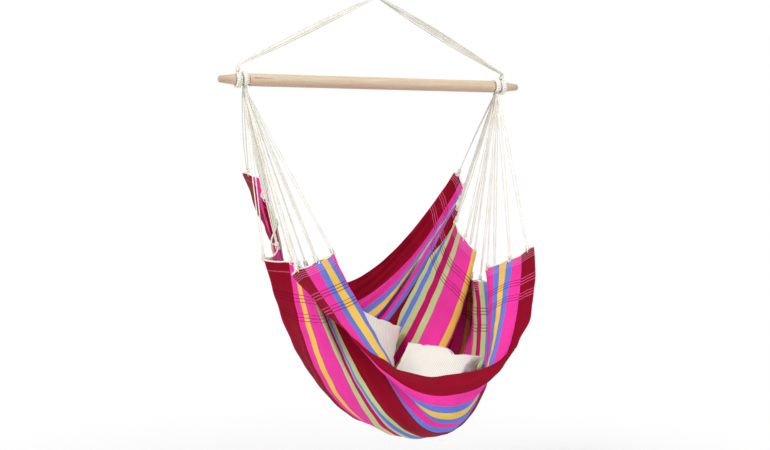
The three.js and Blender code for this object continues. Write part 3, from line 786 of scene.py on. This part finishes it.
def make_cloth():
    points, slide = shaped_cloth()
    normals = surface_normals(points)
    hemmed = np.maximum(within(FROM_HEM, HEM_DEPTH), within(FROM_SELVEDGE, SELVEDGE_HEM))
    half = (CLOTH_THICKNESS + HEM_EXTRA * hemmed) / 2
    drift = DRIFT * humped(FROM_BACK / DRIFT_REACH) * bell(FROM_RIGHT, DRIFT_PLACE, DRIFT_LENGTH)
    uvs = stacked(ACROSS + drift + slide, ALONG)
    skin = Skin()
    upper = skin.grid(points + normals * half[..., None], uvs)
    lower = skin.grid(points - normals * half[..., None], uvs, flip=True)
    ends = (upper[0], lower[0]), (lower[-1], upper[-1])
    selvedges = (lower[:, 0], upper[:, 0]), (upper[:, -1], lower[:, -1])
    for edges in (*ends, *selvedges):
        skin.faces.extend(quads(np.stack(edges, axis=1)))
    piece = skin.piece("seat_cloth_striped", "seat_cloth", "striped_cloth")
    underside = piece.data.attributes.new("underside", "FLOAT", "POINT")
    underside.data.foreach_set("value", np.repeat([0.0, 1.0], upper.size).astype(np.float32))
    return points, piece


cloth_points, cloth = make_cloth()


# Cords: radii, gaps and steps
CORD_RADIUS = 0.00175
CORD_STEP = 0.0034
CORD_SIDES = 8
CORD_GAP = 0.0030
CORD_TOP = 0.0001
FAN_BOW = 0.004
FAN_INSIDE = (0.9, 0.72, 0.0)
FAN_SQUEEZED = (0.95, 0.8, 0.82)
EDGE_RADIUS = 0.0024
EDGE_RISE = 0.0030
EDGE_SLACK = (0.002, 0.007)
EDGE_SLACK_SHARE = 0.6
KNOT_RADIUS = 0.0050
KNOT_CORD = 0.0021
KNOT_START = 0.002
KNOT_LENGTH = 0.012
KNOT_TURNS = 3
LOOP_BACK = 0.0036
LOOP_LENGTH = 0.0080
LOOP_WIDTH = 0.0056
THIN_SIDES = 6


def side_by_side(skin, path, gap, radius, draw):
    """Two cords along a path, together at its ends and a little apart between them."""
    normals, binormals, lengths = frames_along(path)
    share = lengths / lengths[-1]
    turn = draw.uniform(0, math.pi) + draw.uniform(-0.9, 0.9) * share
    across = normals * np.cos(turn)[:, None] + binormals * np.sin(turn)[:, None]
    spread = radius + gap * draw.uniform(0.5, 1.3) * np.sin(math.pi * share) ** 0.8
    for side in (-1, 1):
        skin.tube(path + side * across * spread[:, None], radius, CORD_SIDES)


def bowed(start, end, shares, bow):
    """Places between two others, off the straight line by a bow."""
    return [start + (end - start) * share + bow * math.sin(math.pi * share) for share in shares]


def edging(side_name, side, draw):
    """The cord along a hem, drawn up at every fan cord and slack between them."""
    row, inner = (0, 1) if side < 0 else (-1, -2)
    hem = cloth_points[row]
    out = unit(hem - cloth_points[inner])
    place = np.linspace(0, 1, len(hem))
    slack = draw.uniform(*EDGE_SLACK, FAN_COUNT + 1)
    gap = np.clip((place * FAN_COUNT + 0.5).astype(int), 0, FAN_COUNT)
    wave = (1 + np.cos(TURN * (FAN_COUNT * place - 0.5))) / 2
    path = hem + out * (EDGE_RISE + slack[gap] * EDGE_SLACK_SHARE * wave**2)[:, None]
    skin = Skin()
    skin.tube(smooth_path(path[::3], CORD_STEP), EDGE_RADIUS, CORD_SIDES)
    piece = skin.piece(f"{side_name}_edging_twisted", f"{side_name}_edging_cord")
    feet = []
    for i in range(FAN_COUNT):
        at = (i + 0.5) / FAN_COUNT * (len(hem) - 1)
        low = int(at)
        feet.append((path[low] + (path[low + 1] - path[low]) * (at - low), out[low]))
    return piece, feet


def cord_top(node):
    """The middle of a cord's upper end, in the frame."""
    points = points_of(frame["nodes"][node].data)
    return points[points[:, 2] > points[:, 2].max() - CORD_TOP].mean(axis=0)


def fan_cord(side_name, side, number, foot, draw):
    node = f"{side_name}_fan_cord_{number:02d}"
    start = cord_top(node)
    eye = np.array([side * FAN_EYE_X, 0.0, BAR[2]])
    inside = eye + (start - eye) * FAN_INSIDE
    inside[2] = eye[2] - BAR_EYE_INNER - 0.004
    squeezed = eye + (start - eye) * FAN_SQUEEZED
    place, out = foot
    bow = np.array([*draw.uniform(-FAN_BOW, FAN_BOW, 2), 0.0])
    line = [inside, squeezed, start + (squeezed - start) * 0.1]
    line += [*bowed(start, place, (0.12, 0.35, 0.6, 0.85), bow), place]
    skin = Skin()
    path = smooth_path(line, CORD_STEP)
    side_by_side(skin, path, CORD_GAP, CORD_RADIUS, draw)
    knot(skin, path)
    loop(skin, place, out, place - start)
    skin.piece(f"{node}_twisted", node)


def knot(skin, path):
    """A few tight turns round the lower end of a cord."""
    end = path[-1]
    back = unit(path[-3] - end)
    side = unit(np.cross(back, [0.3, 0.9, 0.2]))
    other = np.cross(back, side)
    t = np.linspace(0, 1, KNOT_TURNS * 12 + 1)[:, None]
    angle = TURN * KNOT_TURNS * t
    coil = KNOT_RADIUS * (side * np.cos(angle) + other * np.sin(angle))
    skin.tube(end + back * (KNOT_START + KNOT_LENGTH * t) + coil, KNOT_CORD, THIN_SIDES)


def loop(skin, place, out, reach):
    """The small loop by which a cord holds the edging and the hem."""
    across = unit(np.cross(out, reach))
    angle = circle(16)[:, None]
    ring = place - out * LOOP_BACK + LOOP_LENGTH * out * np.cos(angle) + LOOP_WIDTH * across * np.sin(angle)
    skin.tube(ring, KNOT_CORD, THIN_SIDES, closed=True)


# Eyes: a padded ring of cords in close turns, open where its cords leave it in a tab
EYE_CORE_DEPTH = 0.005
BAR_EYE_INNER = 0.0175
TOP_EYE_INNER = 0.0161
TOP_EYE_TURNS = 20
TOP_TAB_HALF = 0.009
BINDING_TURNS = 4
BINDING_CORD = 0.0013
BINDING_HALF = 0.0056
BINDING_START = 0.004
BINDING_LENGTH = 0.0086
WHIP_RADIUS = 0.0029
WHIP_SIDES = 8
WHIP_REACH = 0.0014
WHIP_OUT = 0.0011
WHIP_ROOM = 0.0015
WHIP_LAY = 0.016
WHIP_LOBE = 0.05

# The two at an end of the bar: kind, place, turns, half of the tab, and whether it points up
BAR_EYES = (("fan", FAN_EYE_X, 20, 0.0167, False), ("bridle", BRIDLE_EYE_X, 22, 0.0105, True))


def squared(wave, power):
    """A wave pressed towards a square one."""
    return np.sign(wave) * np.abs(wave) ** power


def make_eye(node, centre, inner, turns, tab_half, up=False):
    """The cords inside an eye with the binding round its tab, and the close turns round the eye."""
    ring = inner + EYE_CORE_DEPTH / 2
    around, section = circle(64)[:, None], circle(16)
    radius = ring + EYE_CORE_DEPTH / 2 * np.cos(section)
    points = stacked(EYE_HALF_WIDTH * np.sin(section), radius * np.cos(around), radius * np.sin(around))
    skin = Skin()
    skin.grid(points + centre, stacked(section / 6, around * ring), round_columns=True, round_rows=True)
    t = np.linspace(0, 1, BINDING_TURNS * 24 + 1)
    angle = TURN * BINDING_TURNS * t
    out = inner + EYE_CORE_DEPTH + BINDING_START + BINDING_LENGTH * t
    sideways = BINDING_HALF * squared(np.cos(angle), 0.7)
    path = stacked(sideways, tab_half * 0.86 * squared(np.sin(angle), 0.8), out if up else -out)
    skin.tube(path + centre, BINDING_CORD, THIN_SIDES)
    skin.piece(f"{node}_core", node)
    reach = EYE_CORE_DEPTH / 2 + WHIP_REACH
    opening = math.asin(min((tab_half + WHIP_ROOM) / (ring + reach), 1))
    t = np.linspace(0, 1, turns * 16 + 1)
    around = opening - math.pi / 2 + (TURN - 2 * opening) * t
    turn = TURN * turns * t
    radius = ring + WHIP_OUT + reach * np.cos(turn)
    sideways = (EYE_HALF_WIDTH + WHIP_REACH) * np.sin(turn)
    path = stacked(sideways, radius * np.cos(around), radius * np.sin(around))
    if up:
        path[:, 1:] *= -1
    skin = Skin()
    skin.tube(path + centre, WHIP_RADIUS, WHIP_SIDES, WHIP_LAY, WHIP_LOBE)
    skin.piece(f"{node}_whipping_close", f"{node}_whipping")


# The bridle's strands, each with its own share of the spread between them
STRAND_RADIUS = 0.0020
STRAND_GAP = 0.0012
STRAND_BOW = 0.006
STRAND_SPREAD = 0.0075
STRAND_SHARES = (0.35, -1, 1, -0.35)
STRAND_LEAD = 0.008


def bridle_strand(side_name, side, number, draw):
    """One strand: a pair of cords that lie side by side, from the throat to the eye."""
    node = f"{side_name}_bridle_strand_{number + 1}"
    top = cord_top(node)
    row = top[1]
    foot = np.array([side * BRIDLE_EYE_X, row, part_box(node)[0].z])
    eye = np.array([side * BRIDLE_EYE_X, row * 0.7, BAR[2] + BAR_EYE_INNER + 0.003])
    start = top + (side * 0.001, 0, -STRAND_LEAD)
    lead = foot + (0, 0, STRAND_LEAD)
    bow = np.array([0, STRAND_BOW * np.sign(row), -STRAND_SHARES[number] * STRAND_SPREAD])
    between = bowed(start, lead, (0.1, 0.3, 0.5, 0.7, 0.9), bow)
    line = [top + (0, 0, 0.014), top, start, *between, lead, foot, eye]
    skin = Skin()
    side_by_side(skin, smooth_path(line, CORD_STEP), STRAND_GAP, STRAND_RADIUS, draw)
    skin.piece(f"{node}_twisted", node)


# The throat, whose outline is heights above its foot with shares of its radius
THROAT_RADIUS = 0.009
THROAT_OUTLINE = (
    (0, 0.05), (0.0004, 0.8), (0.0015, 0.92), (0.004, 0.97), (0.012, 0.97), (0.022, 0.97),
    (0.034, 0.97), (0.040, 0.97), (0.0435, 0.86), (0.0465, 0.62), (0.0484, 0.3), (0.0489, 0.02),
)
THROAT_LOBE = 0.07
THROAT_TURNS = 11
THROAT_CORD = 0.0017
THROAT_OUT = 0.0013
THROAT_MARGIN = 0.0012


def make_throat():
    heights, widths = np.array(THROAT_OUTLINE).T
    angle = circle(96)
    reach = THROAT_RADIUS * widths[:, None] * (1 - THROAT_LOBE + THROAT_LOBE * np.abs(np.cos(4 * angle)))
    height = (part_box("throat")[0].z + heights)[:, None]
    skin = Skin()
    points = stacked(reach * np.cos(angle), reach * np.sin(angle), height)
    skin.rings(points, stacked(angle / 6, heights[:, None]))
    skin.piece("throat_bundle", "throat")
    low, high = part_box("throat_whipping")
    t = np.linspace(0, 1, THROAT_TURNS * 20 + 1)
    angle = TURN * THROAT_TURNS * t
    radius = THROAT_RADIUS + THROAT_OUT
    height = low.z + THROAT_MARGIN + (high.z - low.z - 2 * THROAT_MARGIN) * t
    skin = Skin()
    path = stacked(radius * np.cos(angle), radius * np.sin(angle), height)
    skin.tube(path, THROAT_CORD, WHIP_SIDES, lay=0.011, lobe_depth=0.12)
    skin.piece("throat_whipping_close", "throat_whipping")


# The cords from the top eye to the throat, in two layers of four
TOP_CORD = 0.0019
TOP_PITCH = 0.0042


def make_top_eye():
    low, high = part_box("top_eye")
    centre = np.array([0.0, 0.0, high.z - TOP_EYE_INNER - EYE_CORE_DEPTH])
    make_eye("top_eye", centre, TOP_EYE_INNER, TOP_EYE_TURNS, TOP_TAB_HALF)
    skin = Skin()
    for row in range(4):
        for layer in (-1, 1):
            y = (row - 1.5) * TOP_PITCH
            start = np.array([layer * 0.0021, y * 1.2, centre[2] - TOP_EYE_INNER - 0.002])
            end = np.array([layer * 0.0020, y, low.z + 0.0002])
            skin.tube(smooth_path([start, (start + end) / 2, end], CORD_STEP), TOP_CORD, CORD_SIDES)
    skin.piece("top_eye_cords", "top_eye", replaces=False)


def make_cords():
    draw = np.random.default_rng(21)
    hung = []
    for side_name, side in SIDES:
        edge, feet = edging(side_name, side, draw)
        hung.append(edge)
        for i, foot in enumerate(feet):
            fan_cord(side_name, side, i + 1, foot, draw)
        for kind, reach, turns, tab_half, up in BAR_EYES:
            centre = np.array([side * reach, 0, BAR[2]])
            make_eye(f"{side_name}_{kind}_eye", centre, BAR_EYE_INNER, turns, tab_half, up)
        for number in range(len(STRAND_SHARES)):
            bridle_strand(side_name, side, number, draw)
    make_throat()
    make_top_eye()
    return hung


hems = make_cords()


# The turned bar
KNOB_LENGTH = 0.052
NECK_LENGTH = 0.046
NECK_RADIUS = 0.014
KNOB_ROOT = 0.017
KNOB_TIP = 0.0105
BAR_CHAMFER = 0.003
BAR_ROUNDING = 0.0022
BAR_STATIONS = 40
BAR_SIDES = 96
CORNER_STEPS = 5


def rounded(profile):
    """The same outline with its corners rounded."""
    profile = np.array(profile)
    points = [profile[0]]
    for before, here, after in zip(profile[:-2], profile[1:-1], profile[2:]):
        reach = min(BAR_ROUNDING, *[np.linalg.norm(other - here) / 2.1 for other in (before, after)])
        start = here + unit(before - here) * reach
        end = here + unit(after - here) * reach
        for t in np.linspace(0, 1, CORNER_STEPS):
            points.append((1 - t) ** 2 * start + 2 * t * (1 - t) * here + t**2 * end)
    return np.array([*points, profile[-1]])


def make_bar():
    neck_outer = BAR_HALF - KNOB_LENGTH
    neck_inner = neck_outer - NECK_LENGTH
    half = rounded([
        (0.0, BAR_RADIUS), (neck_inner - BAR_CHAMFER, BAR_RADIUS), (neck_inner, BAR_RADIUS - BAR_CHAMFER),
        (neck_inner, NECK_RADIUS), (neck_outer, NECK_RADIUS), (neck_outer, KNOB_ROOT),
        (BAR_HALF - BAR_CHAMFER, KNOB_TIP), (BAR_HALF, KNOB_TIP - BAR_CHAMFER), (BAR_HALF, 0.0002),
    ])
    half[:, 1] = np.minimum(half[:, 1], BAR_RADIUS)
    stations = np.linspace(0, neck_inner - 2 * BAR_CHAMFER, BAR_STATIONS)
    whole = np.concatenate([stacked(stations, BAR_RADIUS), half[1:]])
    whole = np.concatenate([whole[::-1] * (-1, 1), whole[1:]])
    x, radius = whole[:, :1], whole[:, 1:]
    angle = circle(BAR_SIDES)
    skin = Skin()
    points = stacked(x, radius * np.cos(angle), radius * np.sin(angle))
    skin.rings(points + BAR, stacked(angle * BAR_RADIUS, x))
    skin.piece("spreader_bar_turned", "spreader_bar", "bar_wood")


make_bar()


# The steel ring, a little thicker at its weld
WELD_RISE = 0.07
WELD_PLACE = math.pi / 5
WELD_WIDTH = 0.05


def make_ring():
    low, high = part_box("hanging_ring")
    wire = (high.y - low.y) / 2
    radius = (high.x - low.x) / 2 - wire
    angle, section = circle(120)[:, None], circle(28)
    weld = 1 + WELD_RISE * bell(angle, WELD_PLACE, WELD_WIDTH)
    reach = radius + wire * weld * np.cos(section)
    points = stacked(reach * np.cos(angle), wire * weld * np.sin(section), reach * np.sin(angle))
    skin = Skin()
    skin.rings(points + np.array((low + high) / 2), stacked(section / 6, angle * radius), closed=True)
    skin.piece("hanging_ring_steel", "hanging_ring", "ring_steel")


make_ring()


# Cushions: two squares of ticking sewn together and filled
CUSHION_SIZE = 0.320
CUSHION_THICKNESS = 0.108
CUSHION_CELLS = 60
CUSHION_EDGE = 0.002
CUSHION_PULL = 0.045
SLUMP_RUN = (0.05, 0.55)
CREASES = 30
CREASE_DEPTH = 0.0042
CREASE_WIDTH = 0.035
CREASE_REACH = (0.12, 0.42)
CUSHION_SLACK = (0.985, 0.985, 0.86)
CUSHION_PRESSURE = 4
CUSHION_FRAMES = 20
CUSHION_CAP = 0.024
CUSHION_CLEAR = 0.0006
SEAM_RADIUS = 0.0013
CUSHION_PLACES = (
    ("left_cushion", (-0.031, 0.106, 0.7795), (56.8, 11.8, -23.2), 0.0),
    ("right_cushion", (0.285, -0.152, 0.8565), (21.6, -29.4, -52.1), 0.034),
)


def cushion_form(seed, slump):
    """Points of the upper and the under side, joined at the seam, in the cushion's own frame."""
    share = np.linspace(-1, 1, CUSHION_CELLS + 1)
    u, v = np.meshgrid(share, share, indexing="ij")
    crown = np.sqrt((1 - u**2) * (1 - v**2))
    x = CUSHION_SIZE / 2 * u * (1 - CUSHION_PULL * (1 - v**2))
    y = CUSHION_SIZE / 2 * v * (1 - CUSHION_PULL * (1 - u**2))
    y -= slump * eased(u, *SLUMP_RUN) * ((1 + v) / 2) ** 2
    z = (CUSHION_THICKNESS / 2 - CUSHION_EDGE) * crown
    edge = np.minimum(1 - np.abs(u), 1 - np.abs(v))
    draw = np.random.default_rng(seed)
    creases = np.zeros_like(u)
    for _ in range(CREASES):
        angle = draw.uniform(0, TURN)
        place = np.array([math.cos(angle), math.sin(angle)])
        place /= np.abs(place).max()
        direction = -place + draw.uniform(-0.35, 0.35, 2)
        direction /= np.linalg.norm(direction)
        off = (v - place[1]) * direction[0] - (u - place[0]) * direction[1]
        inward = (u - place[0]) * direction[0] + (v - place[1]) * direction[1]
        reach = draw.uniform(*CREASE_REACH)
        creases += draw.uniform(0.4, 1) * bell(off, 0, CREASE_WIDTH) * near(np.maximum(inward, 0), reach)
    depth = CREASE_DEPTH * creases * (1 - near(edge, 0.05))
    return x, y, np.maximum(z - depth, 0)


def fill_out(piece):
    """The cloth simulation that fills the cushion, with its result kept in the mesh."""
    start = points_of(piece.data)
    cloth_maker = piece.modifiers.new("filling", "CLOTH")
    settings = cloth_maker.settings
    settings.use_pressure = True
    settings.uniform_pressure_force = CUSHION_PRESSURE
    settings.effector_weights.gravity = 0
    settings.quality = 6
    scene = bpy.context.scene
    for frame_number in range(1, CUSHION_FRAMES + 1):
        scene.frame_set(frame_number)
    shaped = piece.evaluated_get(bpy.context.evaluated_depsgraph_get())
    end = points_of(shaped.data)
    piece.modifiers.remove(cloth_maker)
    scene.frame_set(1)
    move = end - start
    far = np.linalg.norm(move, axis=1, keepdims=True)
    return start + move * np.minimum(1, CUSHION_CAP / np.maximum(far, 1e-9))


def keep_inside(points, node):
    """Points moved to just inside a node's solid, so that the cushion stays clear of the cloth."""
    solid = frame["nodes"][node].data
    faces = [list(face.vertices) for face in solid.polygons]
    tree = BVHTree.FromPolygons([vertex.co for vertex in solid.vertices], faces)
    for i, point in enumerate(map(Vector, points)):
        place, normal, _, _ = tree.find_nearest(point)
        off = (point - place).dot(normal)
        if off > -CUSHION_CLEAR:
            points[i] = point - normal * (off + CUSHION_CLEAR)
    return points


def make_cushion(node, shares, turns, slump, seed):
    x, y, z = cushion_form(seed, slump)
    turn = Matrix.Identity(4)
    for angle, axis in zip(turns, "XYZ"):
        turn = turn @ Matrix.Rotation(math.radians(angle), 4, axis)
    rotation, origin = np.array(turn.to_3x3()), shares * HUNG + BAR
    under = stacked(x, y, -z)[1:-1, 1:-1]
    local = np.concatenate([stacked(x, y, z).reshape(-1, 3), under.reshape(-1, 3)])
    numbers = np.arange(x.size).reshape(x.shape)
    under_numbers = numbers.copy()
    under_numbers[1:-1, 1:-1] = np.arange(x.size, len(local)).reshape(under.shape[:2])
    slack = np.array(CUSHION_SLACK)
    mesh = bpy.data.meshes.new(f"{node}_filled")
    faces = quads(numbers) + quads(under_numbers, flip=True)
    mesh.from_pydata((local * slack @ rotation.T + origin).tolist(), [], faces)
    piece = link(bpy.data.objects.new(f"{node}_ribbed", mesh))
    points = keep_inside(fill_out(piece), node)
    mesh.vertices.foreach_set("co", points.astype(np.float32).ravel())
    clothe(mesh, local[:, :2], "cushion_cloth")
    smoother = piece.modifiers.new("smooth", "SUBSURF")
    smoother.levels = 1
    smoother.render_levels = 1
    dress(piece, node)
    around = np.concatenate([numbers[:-1, 0], numbers[-1, :-1], numbers[:0:-1, -1], numbers[0, :0:-1]])
    skin = Skin()
    skin.tube(points[around], SEAM_RADIUS, THIN_SIDES, closed=True)
    skin.piece(f"{node}_seam", node, "cushion_cloth", replaces=False)


for number, place in enumerate(CUSHION_PLACES):
    make_cushion(*place, seed=40 + number)


# Floor, world and lamps
FLOOR_DROP = 0.4
FLOOR_HALF = 14
FLOOR_NEAR = 0.9
FLOOR_FAR = 2.6
FLOOR_WHITE = (0.93, 0.93, 0.93, 1)
ROOM_LIGHT = 0.54


def make_stage():
    """A white floor that keeps the chair's shadow and runs out into the white of the room."""
    nodes = Nodes(bpy.data.materials.new("floor_white"))
    far = nodes.add("ShaderNodeVectorMath", nodes.place(), operation="LENGTH")
    away = (far.outputs["Value"], FLOOR_NEAR, FLOOR_FAR)
    fade = nodes.add("ShaderNodeMapRange", *away, interpolation_type="SMOOTHSTEP").outputs[0]
    seen = nodes.add("ShaderNodeLightPath").outputs["Is Camera Ray"]
    floor_shader = nodes.tree.nodes["Principled BSDF"].outputs[0]
    white = nodes.add("ShaderNodeEmission").outputs[0]
    blend = nodes.add("ShaderNodeMixShader", nodes.times(seen, fade), floor_shader, white)
    nodes.feed(nodes.tree.nodes["Material Output"].inputs[0], blend.outputs[0])
    mesh = bpy.data.meshes.new("floor")
    corners = [(x * FLOOR_HALF, y * FLOOR_HALF, 0) for x, y in ((-1, -1), (1, -1), (1, 1), (-1, 1))]
    mesh.from_pydata(corners, [], [(0, 1, 2, 3)])
    mesh.materials.append(nodes.finish(FLOOR_WHITE, 1, specular=0))
    floor = link(bpy.data.objects.new("floor", mesh))
    floor.location.z = cad_bounds[0].z - FLOOR_DROP


def make_world():
    nodes = Nodes(bpy.data.worlds.new("studio"))
    bpy.context.scene.world = nodes.owner
    paths = nodes.add("ShaderNodeLightPath").outputs
    seen = nodes.math("MAXIMUM", paths["Is Camera Ray"], paths["Is Glossy Ray"])
    background = nodes.tree.nodes["Background"]
    nodes.feed(background.inputs["Strength"], nodes.spread(seen, 0.0, 1.0, ROOM_LIGHT, 1.0))
    background.inputs["Color"].default_value = WHITE


def make_lamp(name, strength, turn, height, softness):
    data = bpy.data.lights.new(name, "SUN")
    data.energy = strength
    data.angle = math.radians(softness)
    lamp = link(bpy.data.objects.new(name, data))
    turn, height = math.radians(turn), math.radians(height)
    level = math.cos(height)
    towards = Vector((math.sin(turn) * level, -math.cos(turn) * level, math.sin(height)))
    lamp.rotation_euler = towards.to_track_quat("Z", "Y").to_euler()


make_stage()
make_world()
make_lamp("key", strength=1.75, turn=-62, height=48, softness=22)
make_lamp("fill", strength=0.4, turn=35, height=25, softness=60)
bpy.context.scene.view_settings.view_transform = "Standard"
